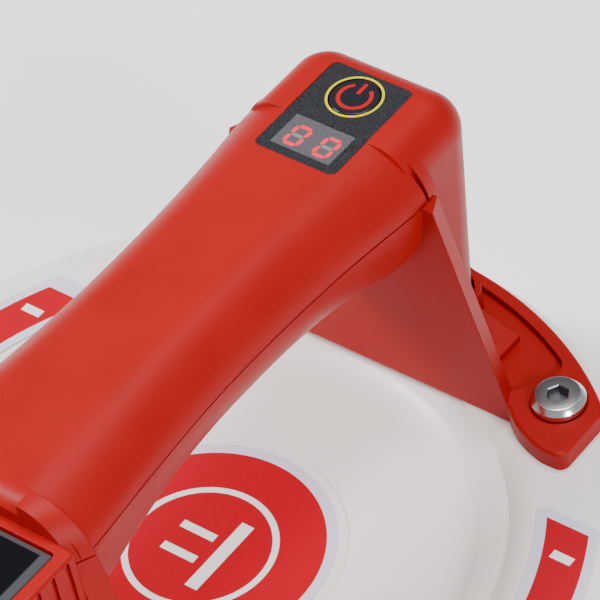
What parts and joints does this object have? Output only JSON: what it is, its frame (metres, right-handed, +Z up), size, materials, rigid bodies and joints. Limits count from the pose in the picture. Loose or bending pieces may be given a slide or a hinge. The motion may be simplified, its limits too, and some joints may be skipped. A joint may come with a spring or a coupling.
{
  "type": "battery vacuum suction lifter",
  "caption": "Round vacuum lifting pad with a bridge handle, pump, gauge display, power button and press-to-release valve, for carrying glass and tiles.",
  "frame": {"origin": "centre of the foam seal's underside, on the surface that the pad grips", "axes": "+Z up from the gripped surface, +X along the handle towards the control panel, +Y to the left of a user who looks along +X"},
  "size_m": [0.2, 0.2, 0.0941],
  "materials": {
    "shell_red": "moulded, finely grained, satin",
    "plate_white": "moulded, satin, faint specks",
    "carrier_black": "moulded, matt",
    "foam": "closed-cell foam rubber, matt",
    "filter_mesh": "woven mesh",
    "screw_steel": "stainless, turned bevel, matt top",
    "zinc_screw": "zinc plated",
    "brass": "turned and knurled",
    "label_print": "printed film, red field with a pale border",
    "panel_film": "grained charcoal membrane",
    "button_black": "black with a printed ring and power sign",
    "display_lens": "smoked window over red digits",
    "display_block": "grey display block",
    "board": "green solder mask",
    "part_black": "moulded component",
    "cell_wrap": "heat-shrink sleeve",
    "nickel": "nickel strip",
    "motor_steel": "drawn steel can",
    "shaft_steel": "ground steel",
    "pump_grey": "glass-filled plastic",
    "seal_rubber": "soft black rubber",
    "hose_silicone": "milky silicone",
    "button_gloss": "polished black, grey bevel",
    "spring_steel": "spring wire",
    "valve_plastic": "natural acetal"
  },
  "bodies": {
    "root": {"base_plate": "plate_white", "seal_carrier": "carrier_black", "carrier_screws": "zinc_screw", "foam_seal": "foam", "inlet_filter": "filter_mesh", "threaded_inserts": "brass", "foot_screws": "screw_steel", "shell_screws": "zinc_screw", "centre_label": "label_print", "side_label_right": "label_print", "side_label_left": "label_print", "handle_lower_shell": "shell_red", "handle_upper_shell": "shell_red", "panel_overlay": "panel_film", "display_window": "display_lens", "control_board": "board", "display_module": "display_block", "tact_switch": "part_black", "vacuum_sensor": "part_black", "battery_cells": "cell_wrap", "battery_tabs": "nickel", "cell_cradle": "part_black", "charge_board": "board", "charge_socket": "part_black", "pump_head": "pump_grey", "pump_diaphragm": "seal_rubber", "pump_motor": "motor_steel", "motor_bracket": "part_black", "port_fitting": "valve_plastic", "vacuum_hose": "hose_silicone", "valve_body": "valve_plastic", "release_spring": "spring_steel"},
    "power": {"power_button": "button_black"},
    "release": {"release_button": "button_gloss", "release_stem": "shaft_steel", "valve_disc": "seal_rubber"},
    "rotor": {"motor_shaft": "shaft_steel", "pump_crank": "brass"}
  },
  "joints": [
    {"name": "power_press", "type": "slide", "parent": "root", "child": "power", "axis": [0, 0, -1], "range_m": [0, 0.0005], "stiffness_N_per_m": 1500},
    {"name": "release_press", "type": "slide", "parent": "root", "child": "release", "axis": [0, 0, -1], "range_m": [0, 0.0035], "stiffness_N_per_m": 800, "deforming": ["release_spring"]},
    {"name": "rotor_spin", "type": "hinge", "parent": "root", "child": "rotor", "pos_m": [0.0755, 0, 0.05], "axis": [0, 0, 1], "continuous": true}
  ]
}
